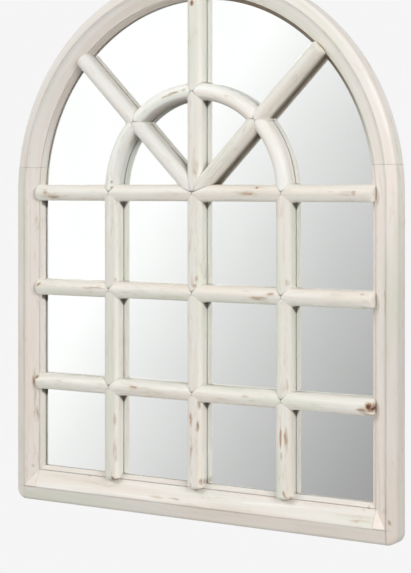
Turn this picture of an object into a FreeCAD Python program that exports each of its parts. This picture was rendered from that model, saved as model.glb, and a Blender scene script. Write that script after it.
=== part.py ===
"""Arched window mirror: a moulded wooden frame with a half-round head, one sheet of mirror and a
grille of D-section glazing bars, hung from two rings on the back.

Millimetres.  +X is to the right of someone who looks at the mirror, +Z is up and the wall is at +Y.
Every body is drawn about the arch's centre on the glass's front plane, with heights in front of the
glass running towards -Y.  The finished pieces are then moved so that the origin lies on the wall,
midway between the two points where hooks carry the rings.
"""
import FreeCAD, Part
import math
import os
import re
import Sketcher

doc = FreeCAD.newDocument("arched_window_mirror")
dims = doc.addObject("Spreadsheet::Sheet", "dims")

SIZES = (
    # the frame as a whole
    ("frame_width", 800, "outside width, and twice the outside radius of the arch"),
    ("spring_height", 585, "bottom edge to the spring line, where the sides begin to curve"),
    ("stile_width", 53, "moulding of the sides and of the head, face on"),
    ("rail_width", 65, "moulding of the bottom rail, face on"),
    ("joint_rise", 48, "spring line to the joints between stiles and head"),
    ("back_depth", 9, "glass's front plane to the back of the frame"),
    # the moulding, from the glass outwards
    ("lip_edge", 4, "upright edge where the lip meets the glass"),
    ("lip_width", 8.5, "opening edge to the bottom of the quirk"),
    ("lip_height", 11, "top of the lip above the glass"),
    ("quirk_width", 2, "narrow valley between the lip and the broad face"),
    ("quirk_depth", 1.3, "depth of that valley"),
    ("crest_height", 26, "highest line of the moulding above the glass"),
    ("band_width", 20, "outer band of the stiles and the head, outside the crest"),
    ("rail_band_width", 26, "outer band of the bottom rail"),
    ("band_fall", 1.5, "fall of the outer band from the crest to its rounding"),
    ("score_width", 2, "scored line along the crest"),
    ("score_depth", 0.5, "depth of the scored line"),
    ("edge_radius", 7, "rounding of the frame's outer front edge"),
    ("back_chamfer", 1.5, "eased edge at the back"),
    # glass and board in their rebates
    ("glass_thickness", 3, "mirror glass"),
    ("glass_lap", 8, "glass behind the lip"),
    ("glass_gap", 1, "free space round the glass"),
    ("board_thickness", 3, "backing board"),
    ("board_lap", 14, "ledge that carries the board, outside the glass's rebate"),
    ("board_gap", 1, "free space round the board"),
    # the grille
    ("pane_width", 182, "centre to centre of the upright bars"),
    ("pane_height", 179, "centre to centre of the cross bars"),
    ("bar_width", 30, "glazing bar, face on"),
    ("bar_height", 28, "glazing bar, glass to crown"),
    ("lap_height", 12, "height above the glass where halved bars share their joint"),
    ("nose_radius", 6, "rounding of the ends of the bars"),
    ("spoke_angle", 45, "slope of the spokes, in degrees"),
    # wooden dowels in the joints
    ("dowel_radius", 4, "frame dowels"),
    ("dowel_length", 30, "frame dowels"),
    ("glue_gap", 0.05, "glue round a dowel"),
    ("dowel_setback", 8, "dowel's axis in front of the glass plane"),
    # screws
    ("screw_radius", 1.5, "backing screw's shank"),
    ("screw_length", 12, "backing screw under its head"),
    ("screw_head_radius", 3, "backing screw's pan head"),
    ("screw_head", 1.8, "height of that head"),
    ("recess_reach", 1.7, "middle of a screw's cross recess to the end of its arms"),
    ("recess_width", 0.8, "arms of the cross recess"),
    ("recess_depth", 1.3, "depth of the cross recess"),
    ("screw_edge", 16, "opening edge to the screw line"),
    ("thread_gap", 0.05, "pilot hole round a screw"),
    ("board_hole_gap", 0.4, "hole in the board round a screw"),
    # ring hangers
    ("hanger_inset", 15, "outer side of a stile to the middle of its hanger"),
    ("hanger_drop", 40, "spring line down to the rings' pivots"),
    ("strap_width", 18, "folded strap"),
    ("strap_length", 50, "pivot to the strap's lower end"),
    ("strap_thickness", 1.2, "sheet of the strap"),
    ("wire_radius", 1.5, "wire of the ring"),
    ("wire_gap", 0.1, "free space between the wire and the fold"),
    ("ring_radius", 12, "bow of the ring, to the middle of the wire"),
    ("ring_side", 5.5, "straight side of the ring"),
    ("ring_bend", 2.5, "bend between the leg and the side"),
    ("fixing_first", 28, "pivot to the upper screw of a strap"),
    ("fixing_pitch", 14, "upper to lower screw of a strap"),
    ("fixing_radius", 1.75, "strap screw's shank"),
    ("fixing_length", 15, "strap screw under its head"),
    ("fixing_head_radius", 3.5, "strap screw's head"),
    ("fixing_head", 2, "height of that head"),
    ("fixing_hole_gap", 0.3, "hole in the strap round a screw"),
    ("bumper_radius", 10, "felt pads at the feet"),
    ("bumper_rise", 30, "bottom edge to the middle of a pad"),
)
NAMES = {name for name, _, _ in SIZES}
for row, (name, value, note) in enumerate(SIZES, start=1):
    dims.set(f"A{row}", name)
    dims.set(f"B{row}", str(value))
    dims.setAlias(f"B{row}", name)
    dims.set(f"C{row}", note)
doc.recompute()

# Lines of the frame, as expressions of the sizes: widths are measured across from the middle,
# heights from the spring line.
HALF = "(frame_width / 2)"
OPENING = "(frame_width / 2 - stile_width)"
NOSE = "(frame_width / 2 - stile_width + lip_width)"
CREST = "(frame_width / 2 - band_width)"
SILL = "(rail_width - spring_height)"
FOOT = "(0 - spring_height)"
RAIL_CREST = "(rail_band_width - spring_height)"
GLASS_REBATE = "(glass_lap + glass_gap)"
BOARD_REBATE = "(glass_lap + glass_gap + board_lap)"
STRAIGHT = "(bar_height - bar_width / 2)"
# Depths behind the frame's back: the fold round the ring is what keeps the mirror off the wall.
FOLD = "(wire_radius + wire_gap + strap_thickness)"
WALL = f"(back_depth + 2 * {FOLD})"
PIVOT = f"(back_depth + {FOLD})"
RING_REACH = "(ring_bend + ring_side + ring_radius)"
HOOK = f"({RING_REACH} - wire_radius - hanger_drop)"


def bound(expression):
    """The expression with every named size read from the sheet."""
    return re.sub(r"[a-z]\w+", lambda m: "dims." + m[0] if m[0] in NAMES else m[0], expression)


def value(expression):
    return float(dims.evalExpression(expression))


def settle(piece, turn=None):
    """Moves a finished piece from the arch's centre to the frame's own origin on the wall."""
    if turn:
        piece.Placement.Rotation = FreeCAD.Rotation(FreeCAD.Vector(0, -1, 0), value(turn))
        piece.setExpression("Placement.Rotation.Angle", bound(turn))
    piece.setExpression("Placement.Base.y", bound(f"0 - {WALL}"))
    piece.setExpression("Placement.Base.z", bound(f"0 - {HOOK}"))


def new_body(label):
    body = doc.addObject("PartDesign::Body", label)
    body.Label = label
    body.AllowCompound = True
    settle(body)
    return body


def new_sketch(body, role, out="0", across=None, tilt=None):
    """A sketch on one of the body's own planes, moved out along the plane's normal, moved across
    along the plane's first axis, or tilted about it."""
    sketch = body.newObject("Sketcher::SketchObject", body.Label + "_lines")
    plane = next(item for item in body.Origin.OriginFeatures if item.Role == role)
    sketch.AttachmentSupport = [(plane, "")]
    sketch.MapMode = "FlatFace"
    if tilt:
        sketch.AttachmentOffset = FreeCAD.Placement(
            FreeCAD.Vector(), FreeCAD.Rotation(FreeCAD.Vector(1, 0, 0), value(tilt)))
    sketch.setExpression("AttachmentOffset.Base.z", bound(out))
    if across:
        sketch.setExpression("AttachmentOffset.Base.x", bound(across))
    return sketch


def fix_point(sketch, rules, geometry, end, spot):
    """Ties one point of the sketch to a pair of expressions, measured from the sketch's origin."""
    for kind, expression in zip(("DistanceX", "DistanceY"), spot):
        if expression is None:
            continue
        rules.append(Sketcher.Constraint(kind, -1, 1, geometry, end, value(expression)))
        yield expression


def outline(sketch, corners, arcs=None):
    """A closed outline through corners given as expressions.  arcs names the corners from which the
    outline runs on as an arc of a circle, with its centre and whether it turns anticlockwise."""
    arcs = {list(corners).index(corner): arc for corner, arc in (arcs or {}).items()}
    first = sketch.GeometryCount
    spots = [FreeCAD.Vector(value(x), value(y), 0) for x, y in corners]
    shapes = []
    for side, start in enumerate(spots):
        end = spots[(side + 1) % len(spots)]
        if side not in arcs:
            shapes.append(Part.LineSegment(start, end))
            continue
        centre_spot, anticlockwise = arcs[side]
        centre = FreeCAD.Vector(value(centre_spot[0]), value(centre_spot[1]), 0)
        low, high = (start, end) if anticlockwise else (end, start)
        angles = [math.atan2(spot.y - centre.y, spot.x - centre.x) for spot in (low, high)]
        if angles[1] <= angles[0]:
            angles[1] += 2 * math.pi
        circle = Part.Circle(centre, FreeCAD.Vector(0, 0, 1), (start - centre).Length)
        shapes.append(Part.ArcOfCircle(circle, *angles))
    sketch.addGeometry(shapes, False)

    def end_of(side, leaving):
        """The number of a side's end, where it is entered or left."""
        if side in arcs and not arcs[side][1]:
            return 1 if leaving else 2
        return 2 if leaving else 1

    rules = []
    texts = []
    for side, corner in enumerate(corners):
        texts += fix_point(sketch, rules, first + side, end_of(side, False), corner)
    for side, (centre_spot, _) in arcs.items():
        chord = spots[(side + 1) % len(spots)] - spots[side]
        flat = abs(chord.x) >= abs(chord.y)
        spot = (None, centre_spot[1]) if flat else (centre_spot[0], None)
        texts += fix_point(sketch, rules, first + side, 3, spot)
    count = sketch.ConstraintCount
    sketch.addConstraint(rules)
    for number, text in enumerate(texts):
        sketch.setExpression(f"Constraints[{count + number}]", bound(text))
    links = []
    for side in range(len(corners)):
        following = (side + 1) % len(corners)
        links.append(Sketcher.Constraint(
            "Coincident", first + side, end_of(side, True),
            first + following, end_of(following, False)))
    sketch.addConstraint(links)


def rings(sketch, centres, radius):
    """Circles of one radius round centres given as expressions."""
    for centre in centres:
        number = sketch.addGeometry(Part.Circle(
            FreeCAD.Vector(value(centre[0]), value(centre[1]), 0),
            FreeCAD.Vector(0, 0, 1), value(radius)), False)
        rules = []
        texts = list(fix_point(sketch, rules, number, 3, centre))
        rules.append(Sketcher.Constraint("Radius", number, value(radius)))
        texts.append(radius)
        count = sketch.ConstraintCount
        sketch.addConstraint(rules)
        for offset, text in enumerate(texts):
            sketch.setExpression(f"Constraints[{count + offset}]", bound(text))


def feature(body, kind, sketch, length=None, both=False, back=False):
    """A pad or a pocket of a sketch.  Without a length it goes right through, both ways."""
    made = body.newObject("PartDesign::" + kind, f"{body.Label}_{kind.lower()}")
    made.Profile = sketch
    if length is None:
        made.SideType = "Symmetric"
        made.Length = 4 * value("frame_width + spring_height")
        made.setExpression("Length", bound("4 * (frame_width + spring_height)"))
    else:
        made.SideType = "Symmetric" if both else "One side"
        made.Reversed = back
        made.Length = value(length)
        made.setExpression("Length", bound(length))
    body.Tip = made
    check_cut(made, kind)
    return made


def turned(body, kind, sketch, angle="90", back=False):
    """A revolution or a groove of a sketch about its own upright axis."""
    made = body.newObject("PartDesign::" + kind, f"{body.Label}_{kind.lower()}")
    made.Profile = sketch
    made.ReferenceAxis = (sketch, ["V_Axis"])
    made.Angle = value(angle)
    made.Reversed = back
    body.Tip = made
    check_cut(made, kind)
    return made


def check_cut(made, kind):
    """Stops where a feature failed, or where one that takes wood away took none."""
    doc.recompute()
    if "Invalid" in made.State or "Error" in made.State:
        raise RuntimeError(f"{made.Label} failed: {made.State}")
    before = made.BaseFeature
    if before is None:
        return
    change = made.Shape.Volume - before.Shape.Volume
    if (kind in ("Pocket", "Groove")) != (change < 0) or abs(change) < 1e-6:
        raise RuntimeError(f"{made.Label} changed the volume by {change:.3f}")


def rounded(body, test, radius):
    """Rounds the edges of the body whose middle point passes the test."""
    base = body.Tip
    names = []
    for number, edge in enumerate(base.Shape.Edges, start=1):
        if edge.Length > 1e-6 and test(edge):
            names.append(f"Edge{number}")
    made = body.newObject("PartDesign::Fillet", body.Label + "_rounding")
    made.Base = (base, names)
    made.Radius = value(radius)
    made.setExpression("Radius", bound(radius))
    body.Tip = made
    doc.recompute()
    if "Invalid" in made.State or not made.Shape.isValid():
        raise RuntimeError(f"{made.Label} failed on {names}")
    return made


def mirrored(source, label):
    """The left-hand twin of a right-hand piece."""
    twin = doc.addObject("Part::Mirroring", label)
    twin.Label = label
    twin.Source = source
    twin.Base = FreeCAD.Vector(0, 0, 0)
    twin.Normal = FreeCAD.Vector(1, 0, 0)
    return twin


# ---------------------------------------------------------------- the moulding

def moulding(width, band):
    """Section of the frame's moulding: distance out from the opening's edge, height in front of the
    glass.  A lip slopes up from the glass, a quirk parts it from the broad face, which rises to the
    crest; a scored line runs along the crest, and the outer band ends in a rounded edge."""
    crest = f"({width} - {band})"
    shoulder = "(crest_height - band_fall)"
    return (
        ("0", "0"),
        ("0", "lip_edge"),
        ("lip_width - quirk_width / 2", "lip_height"),
        ("lip_width", "lip_height - quirk_depth"),
        ("lip_width + quirk_width / 2", "lip_height"),
        (crest, "crest_height"),
        (f"{crest} + score_width / 2", "crest_height - score_depth"),
        (f"{crest} + score_width", "crest_height"),
        (f"{width} - edge_radius", shoulder),
        (width, f"{shoulder} - edge_radius"),
        (width, "back_chamfer - back_depth"),
        (f"{width} - back_chamfer", "0 - back_depth"),
        (BOARD_REBATE, "0 - back_depth"),
        (BOARD_REBATE, "0 - glass_thickness"),
        (GLASS_REBATE, "0 - glass_thickness"),
        (GLASS_REBATE, "0"),
    )


def moulding_outline(sketch, width, band, place):
    """Draws the moulding.  place turns a distance out and a height into the sketch's coordinates."""
    start = place(f"{width} - edge_radius", "(crest_height - band_fall)")
    centre = place(f"{width} - edge_radius", "(crest_height - band_fall) - edge_radius")
    outline(sketch, [place(out, up) for out, up in moulding(width, band)], {start: (centre, True)})


def side_outline(sketch):
    """The moulding in a level section through the right-hand side of the frame."""
    moulding_outline(sketch, "stile_width", "band_width", lambda out, up: (f"{OPENING} + {out}", f"0 - ({up})"))


def band_outline(sketch):
    """Only the outer band of that section, measured out from the crest."""
    shoulder = "(crest_height - band_fall)"
    start = ("band_width - edge_radius", f"0 - {shoulder}")
    corners = (
        ("0", "back_depth"),
        ("0", "score_depth - crest_height"),
        start,
        ("band_width", f"edge_radius - {shoulder}"),
        ("band_width", "back_depth - back_chamfer"),
        ("band_width - back_chamfer", "back_depth"),
    )
    outline(sketch, corners, {start: (("band_width - edge_radius", f"edge_radius - {shoulder}"), True)})


def lip_cope(sketch, sign=1):
    """The space that the lip fills, with a little to spare outside it."""
    beyond = "lip_width + quirk_width"
    lip = (("0", "0"), ("0", "lip_edge"), ("lip_width - quirk_width / 2", "lip_height"),
           (beyond, "lip_height"), (beyond, "0"))
    outline(sketch, [(f"{sign} * ({OPENING} + {out})", f"0 - ({up})") for out, up in lip])


# Joints of the frame.  Dowels lie along X through the joints of the rail and of the crown, and
# along Z through those between the stiles and the head.
DOWEL_IN = "0 - dowel_setback"
RAIL_DOWELS = (
    (NOSE, (DOWEL_IN, f"{SILL} - (rail_width - rail_band_width + lip_width) / 2 - quirk_width")),
    (f"({CREST} - dowel_radius / 2)", (DOWEL_IN, f"{RAIL_CREST} - rail_band_width / 2")),
)
HEAD_DOWELS = (
    (f"{OPENING} + {BOARD_REBATE} - dowel_radius", "glass_thickness - dowel_setback"),
    (f"{CREST} + dowel_radius", "0 - dowel_setback"),
)
CROWN_DOWELS = (
    ("glass_thickness - dowel_setback", f"{OPENING} + {BOARD_REBATE} - dowel_radius"),
    ("0 - dowel_setback", f"{CREST} + dowel_radius"),
)
DOWEL_BORE = "dowel_radius + glue_gap"


def dowel_rods(body, kind, radius, joints):
    """Dowels, or their bores, at the named joints."""
    back = kind == "Pocket"
    for sign in (1, -1):
        if ("rail", sign) in joints:
            for middle, centre in RAIL_DOWELS:
                sketch = new_sketch(body, "YZ_Plane", f"{sign} * {middle} - dowel_length / 2")
                rings(sketch, [centre], radius)
                feature(body, kind, sketch, "dowel_length", back=back)
        if ("head", sign) in joints:
            sketch = new_sketch(body, "XY_Plane", "joint_rise - dowel_length / 2")
            rings(sketch, [(f"{sign} * ({x})", y) for x, y in HEAD_DOWELS], radius)
            feature(body, kind, sketch, "dowel_length", back=back)
    if ("crown", 0) in joints:
        sketch = new_sketch(body, "YZ_Plane", "0 - dowel_length / 2")
        rings(sketch, CROWN_DOWELS, radius)
        feature(body, kind, sketch, "dowel_length", back=back)


# Backing screws: along the stiles, round the head and along the rail, all on one line.
SCREW_LINE = f"({OPENING} + screw_edge)"
STILE_SCREWS = [(SCREW_LINE, f"{part} * {SILL}") for part in ("0.15", "0.5", "0.85")]
HEAD_SCREWS = [(f"{SCREW_LINE} * cos({angle})", f"{SCREW_LINE} * sin({angle})")
               for angle in ("22.5", "67.5")]
RAIL_SCREWS = [(f"{part} * {OPENING}", f"{SILL} - screw_edge") for part in ("-0.7", "0", "0.7")]
SCREW_TIP = "(screw_length - glass_thickness - board_thickness)"


def pilot_holes(body, centres, radius="screw_radius + thread_gap", tip=SCREW_TIP):
    """Blind holes from the back of the frame to the tip of the screws."""
    sketch = new_sketch(body, "XZ_Plane", "0 - back_depth")
    rings(sketch, centres, radius)
    feature(body, "Pocket", sketch, f"back_depth + {tip} + 4 * thread_gap", back=True)


HANGER_LINE = "(frame_width / 2 - hanger_inset)"
HANGER_SCREWS = [(HANGER_LINE, f"0 - hanger_drop - fixing_first - {row} * fixing_pitch")
                 for row in ("0", "1")]
FIXING_TIP = "(fixing_length - strap_thickness - back_depth)"

# ---------------------------------------------------------------- the frame

# Bottom rail: the moulding along X.  Its outer band runs on under the stiles' inner part, up to the
# crest line, and its lip is mitred with the stiles' lips.
rail = new_body("bottom_rail")
section = new_sketch(rail, "YZ_Plane")
moulding_outline(section, "rail_width", "rail_band_width", lambda out, up: (f"0 - ({up})", f"{SILL} - ({out})"))
feature(rail, "Pad", section, f"2 * {CREST}", both=True)
ends = new_sketch(rail, "XZ_Plane")
for sign in (1, -1):
    outline(ends, [(f"{sign} * {across}", high) for across, high in (
        (OPENING, SILL),
        (NOSE, f"{SILL} - lip_width"),
        (NOSE, RAIL_CREST),
        (HALF, RAIL_CREST),
        (HALF, "0"),
        (OPENING, "0"),
    )])
feature(rail, "Pocket", ends)
dowel_rods(rail, "Pocket", DOWEL_BORE, {("rail", 1), ("rail", -1)})
pilot_holes(rail, RAIL_SCREWS)

# Right stile: the moulding from the rail's crest line to the spring line, then curved up to the
# joint with the head.  Its foot carries the rail's moulding on round the corner, and the outer band
# turns the corner on a radius of its own width.
stile = new_body("right_stile")
section = new_sketch(stile, "XY_Plane", RAIL_CREST)
side_outline(section)
feature(stile, "Pad", section, f"0 - {RAIL_CREST}")
section = new_sketch(stile, "XY_Plane")
side_outline(section)
turned(stile, "Revolution", section, back=True)
above = new_sketch(stile, "XZ_Plane")
outline(above, ((f"0 - {HALF}", "joint_rise"), ("frame_width", "joint_rise"),
                ("frame_width", "frame_width"), (f"0 - {HALF}", "frame_width")))
feature(stile, "Pocket", above)
strip = new_sketch(stile, "XY_Plane", f"{FOOT} + band_width", across=CREST)
band_outline(strip)
feature(stile, "Pad", strip, "rail_band_width - band_width")
strip = new_sketch(stile, "XY_Plane", f"{FOOT} + band_width", across=CREST)
band_outline(strip)
turned(stile, "Revolution", strip)
quirk_out = "(lip_width + quirk_width / 2)"
rail_face = "(rail_width - rail_band_width)"
corner = new_sketch(stile, "YZ_Plane", NOSE)
outline(corner, [(f"0 - ({up})", f"{SILL} - {out}") for out, up in (
    (quirk_out, "lip_height"),
    (rail_face, "crest_height"),
    (rail_face, "0 - back_depth"),
    (BOARD_REBATE, "0 - back_depth"),
    (BOARD_REBATE, "0 - glass_thickness"),
    (quirk_out, "0 - glass_thickness"),
)])
feature(stile, "Pad", corner, f"{CREST} - {NOSE}")
seat = new_sketch(stile, "XZ_Plane")
outline(seat, ((OPENING, SILL), (NOSE, f"{SILL} - lip_width"), (NOSE, FOOT), (OPENING, FOOT)))
feature(stile, "Pocket", seat)
dowel_rods(stile, "Pocket", DOWEL_BORE, {("rail", 1), ("head", 1)})
pilot_holes(stile, STILE_SCREWS)
pilot_holes(stile, HANGER_SCREWS, "fixing_radius + thread_gap", FIXING_TIP)

# Right half of the head: a quarter of the arch, cut level at its foot.
head = new_body("head_right")
section = new_sketch(head, "XY_Plane")
side_outline(section)
turned(head, "Revolution", section, back=True)
below = new_sketch(head, "XZ_Plane")
outline(below, (("0", "0 - joint_rise"), ("frame_width", "0 - joint_rise"),
                ("frame_width", "joint_rise"), ("0", "joint_rise")))
feature(head, "Pocket", below)
dowel_rods(head, "Pocket", DOWEL_BORE, {("head", 1), ("crown", 0)})
pilot_holes(head, HEAD_SCREWS)

left_stile = mirrored(stile, "left_stile")
head_left = mirrored(head, "head_left")

dowels = new_body("frame_dowels")
dowel_rods(dowels, "Pad", "dowel_radius", {
    ("rail", 1), ("rail", -1), ("head", 1), ("head", -1), ("crown", 0)})

# ---------------------------------------------------------------- the grille

# Rows of cross bars below the spring line, and places of the upright bars either side of the middle.
CROSS = {
    "spring_bar": "0",
    "middle_cross_bar": "(0 - pane_height)",
    "lower_cross_bar": "(0 - 2 * pane_height)",
}
UPRIGHT = {"left_upright": "(0 - pane_width)", "centre_upright": "0", "right_upright": "pane_width"}


def bar_outline(sketch, centre, foot="0", swap=False):
    """D section of a bar: straight sides on the glass and a half-round crown.  foot is the height
    where the section begins; swap sets the height along the sketch's first axis."""
    low = f"({centre} - bar_width / 2)"
    high = f"({centre} + bar_width / 2)"
    corners = ((low, foot), (low, STRAIGHT), (high, STRAIGHT), (high, foot))
    middle = (centre, f"0 - {STRAIGHT}")
    spots = [(across, f"0 - {up}") for across, up in corners]
    if swap:
        spots = [(up, across) for across, up in spots]
        middle = (middle[1], middle[0])
    outline(sketch, spots, {spots[1]: (middle, not swap)})


def round_ends(body, axis, ends):
    """Rounds the crown's edge on the end faces that lie at the given places along x or z."""
    rounded(body, lambda edge: getattr(edge.BoundBox, axis.upper() + "Length") < 1e-6
            and edge.BoundBox.YLength > 1e-6
            and min(abs(getattr(edge.CenterOfMass, axis) - value(end)) for end in ends) < 1e-6, "nose_radius")


def cut_cross_bars(body, rows, foot):
    """Takes the cross bars' own section out of a bar that they pass, from the given height up."""
    for row in rows:
        sketch = new_sketch(body, "YZ_Plane")
        bar_outline(sketch, CROSS[row], foot, swap=True)
        feature(body, "Pocket", sketch)


def straight_cope(body, sign):
    """Seats a bar's end over the straight lip of a stile."""
    sketch = new_sketch(body, "XY_Plane")
    lip_cope(sketch, sign)
    feature(body, "Pocket", sketch)


def head_cope(body):
    """Seats a bar's end over the curved lip of the head."""
    sketch = new_sketch(body, "XY_Plane")
    lip_cope(sketch)
    turned(body, "Groove", sketch, "360")


bars = {}
for name, row in CROSS.items():
    bar = new_body(name)
    section = new_sketch(bar, "YZ_Plane")
    bar_outline(section, row, swap=True)
    feature(bar, "Pad", section, f"2 * {NOSE}", both=True)
    round_ends(bar, "x", (NOSE, f"0 - {NOSE}"))
    notches = new_sketch(bar, "XZ_Plane")
    crossed = UPRIGHT if name != "spring_bar" else {"centre_upright": UPRIGHT["centre_upright"]}
    for place in crossed.values():
        outline(notches, ((f"{place} - bar_width / 2", f"{row} - bar_width"),
                          (f"{place} + bar_width / 2", f"{row} - bar_width"),
                          (f"{place} + bar_width / 2", f"{row} + bar_width"),
                          (f"{place} - bar_width / 2", f"{row} + bar_width")))
    feature(bar, "Pocket", notches, "lap_height", back=True)
    for sign in (1, -1):
        straight_cope(bar, sign)
    if name == "spring_bar":
        head_cope(bar)
    bars[name] = bar

for name, place in UPRIGHT.items():
    bar = new_body(name)
    top = NOSE if name == "centre_upright" else "0"
    section = new_sketch(bar, "XY_Plane", f"{SILL} - lip_width")
    bar_outline(section, place)
    feature(bar, "Pad", section, f"{top} - {SILL} + lip_width")
    round_ends(bar, "z", (f"{SILL} - lip_width", NOSE))
    foot = new_sketch(bar, "YZ_Plane")
    beyond = "lip_width + quirk_width"
    outline(foot, [(f"0 - ({up})", f"{SILL} - ({out})") for out, up in (
        ("0", "0"), ("0", "lip_edge"), ("lip_width - quirk_width / 2", "lip_height"),
        (beyond, "lip_height"), (beyond, "0"))])
    feature(bar, "Pocket", foot)
    if name == "centre_upright":
        head_cope(bar)
        cut_cross_bars(bar, CROSS, "lap_height")
    else:
        cut_cross_bars(bar, ("middle_cross_bar", "lower_cross_bar"), "lap_height")
        cut_cross_bars(bar, ("spring_bar",), "0")
    bars[name] = bar

# Right spoke: drawn along X, then turned up about the hub.  It is coped against the spring bar and
# the centre upright, and halved over the inner arch.
spoke = new_body("right_spoke")
settle(spoke, "spoke_angle")
section = new_sketch(spoke, "YZ_Plane")
bar_outline(section, "0", swap=True)
feature(spoke, "Pad", section, NOSE)
round_ends(spoke, "x", (NOSE,))
head_cope(spoke)
for tilt in ("spoke_angle", "spoke_angle - 90"):
    section = new_sketch(spoke, "YZ_Plane", tilt=tilt)
    bar_outline(section, "0", swap=True)
    feature(spoke, "Pocket", section)
lap = new_sketch(spoke, "XY_Plane")
outline(lap, (("pane_width - bar_width / 2", "0"), ("pane_width + bar_width / 2", "0"),
              ("pane_width + bar_width / 2", "0 - lap_height"),
              ("pane_width - bar_width / 2", "0 - lap_height")))
turned(spoke, "Groove", lap, "360")

# Right half of the inner arch: a quarter ring that stands on the spring bar above the right upright
# and butts on the centre upright; the spoke passes over it.
inner_arch = new_body("inner_arch_right")
section = new_sketch(inner_arch, "XY_Plane")
bar_outline(section, "pane_width")
turned(inner_arch, "Revolution", section, back=True)
cut_cross_bars(inner_arch, ("spring_bar",), "0")
section = new_sketch(inner_arch, "XY_Plane")
bar_outline(section, "0")
feature(inner_arch, "Pocket", section)
section = new_sketch(inner_arch, "YZ_Plane", tilt="0 - spoke_angle")
bar_outline(section, "0", "lap_height", swap=True)
feature(inner_arch, "Pocket", section)

left_spoke = mirrored(spoke, "left_spoke")
inner_arch_left = mirrored(inner_arch, "inner_arch_left")

# ---------------------------------------------------------------- glass, board and their screws

def arched_sheet(label, lap, front, thickness):
    """A flat sheet with a half-round top, a given lap larger than the opening all round."""
    body = new_body(label)
    side = f"({OPENING} + {lap})"
    sketch = new_sketch(body, "XZ_Plane", f"0 - {front}")
    outline(sketch, ((f"0 - {side}", f"{SILL} - {lap}"), (side, f"{SILL} - {lap}"),
                     (side, "0"), (f"0 - {side}", "0")), {(side, "0"): (("0", "0"), True)})
    feature(body, "Pad", sketch, thickness, back=True)
    return body


glass = arched_sheet("mirror_glass", "glass_lap", "0", "glass_thickness")
board = arched_sheet("backing_board", f"({BOARD_REBATE} - board_gap)", "glass_thickness", "board_thickness")
screw_places = STILE_SCREWS + HEAD_SCREWS
screw_places = screw_places + [(f"0 - {x}", z) for x, z in screw_places] + RAIL_SCREWS
holes = new_sketch(board, "XZ_Plane")
rings(holes, screw_places, "screw_radius + board_hole_gap")
feature(board, "Pocket", holes)


def screws(label, places, shank, length, head_radius, head_height, seat):
    """A group of pan-head screws that point away from the wall, heads on the given seat."""
    body = new_body(label)
    sketch = new_sketch(body, "XZ_Plane", f"0 - {seat}")
    rings(sketch, places, shank)
    feature(body, "Pad", sketch, length)
    sketch = new_sketch(body, "XZ_Plane", f"0 - {seat}")
    rings(sketch, places, head_radius)
    feature(body, "Pad", sketch, head_height, back=True)
    outer = value(f"{seat} + {head_height}")
    rounded(body, lambda edge: abs(edge.CenterOfMass.y - outer) < 1e-6, f"{head_height} / 2")
    for wide, tall in (("recess_reach", "recess_width / 2"), ("recess_width / 2", "recess_reach")):
        sketch = new_sketch(body, "XZ_Plane", f"0 - {seat} - {head_height}")
        for x, z in places:
            outline(sketch, ((f"{x} - {wide}", f"{z} - {tall}"), (f"{x} + {wide}", f"{z} - {tall}"),
                             (f"{x} + {wide}", f"{z} + {tall}"), (f"{x} - {wide}", f"{z} + {tall}")))
        feature(body, "Pocket", sketch, "recess_depth", back=True)
    return body


backing_screws = screws("backing_screws", screw_places, "screw_radius", "screw_length",
                        "screw_head_radius", "screw_head", "(glass_thickness + board_thickness)")

# ---------------------------------------------------------------- hangers and pads

# Folded strap: the sheet lies on the stile's back and is rolled round the leg of the ring.
AXIS = "(0 - hanger_drop)"
strap = new_body("right_hanger_strap")
across = f"{HANGER_LINE} - strap_width / 2"
section = new_sketch(strap, "YZ_Plane", across)
rings(section, [(PIVOT, AXIS)], FOLD)
feature(strap, "Pad", section, "strap_width")
section = new_sketch(strap, "YZ_Plane", across)
strap_foot = f"{AXIS} - strap_length"
outline(section, (("back_depth", strap_foot), ("back_depth + strap_thickness", strap_foot),
                  ("back_depth + strap_thickness", AXIS), ("back_depth", AXIS)))
feature(strap, "Pad", section, "strap_width")
rounded(strap, lambda edge: abs(edge.CenterOfMass.z - value(strap_foot)) < 1e-6
        and edge.BoundBox.XLength < 1e-6, "strap_width / 2 - strap_thickness")
section = new_sketch(strap, "YZ_Plane")
rings(section, [(PIVOT, AXIS)], "wire_radius + wire_gap")
feature(strap, "Pocket", section)
section = new_sketch(strap, "XZ_Plane")
rings(section, HANGER_SCREWS, "fixing_radius + fixing_hole_gap")
feature(strap, "Pocket", section)
left_strap = mirrored(strap, "left_hanger_strap")

# D-ring: a straight leg in the fold, two bends, two short sides and a half-round bow, hanging down.
ring = new_body("right_hanger_ring")
path = new_sketch(ring, "XZ_Plane", f"0 - {PIVOT}")
inner = f"({HANGER_LINE} - ring_radius + ring_bend)"
outer = f"({HANGER_LINE} + ring_radius - ring_bend)"
left_side = f"({HANGER_LINE} - ring_radius)"
right_side = f"({HANGER_LINE} + ring_radius)"
bend = f"({AXIS} - ring_bend)"
spring = f"({AXIS} - ring_bend - ring_side)"
outline(path, ((inner, AXIS), (outer, AXIS), (right_side, bend), (right_side, spring),
               (left_side, spring), (left_side, bend)),
        {(outer, AXIS): ((outer, bend), False),
         (right_side, spring): ((HANGER_LINE, spring), False),
         (left_side, bend): ((inner, bend), False)})
wire = new_sketch(ring, "YZ_Plane", HANGER_LINE)
rings(wire, [(PIVOT, AXIS)], "wire_radius")
sweep = ring.newObject("PartDesign::AdditivePipe", "right_hanger_ring_sweep")
sweep.Profile = wire
sweep.Spine = path
ring.Tip = sweep
doc.recompute()
left_ring = mirrored(ring, "left_hanger_ring")

hanger_places = HANGER_SCREWS + [(f"0 - {x}", z) for x, z in HANGER_SCREWS]
hanger_screws = screws("hanger_screws", hanger_places, "fixing_radius", "fixing_length",
                       "fixing_head_radius", "fixing_head", "(back_depth + strap_thickness)")

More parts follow.
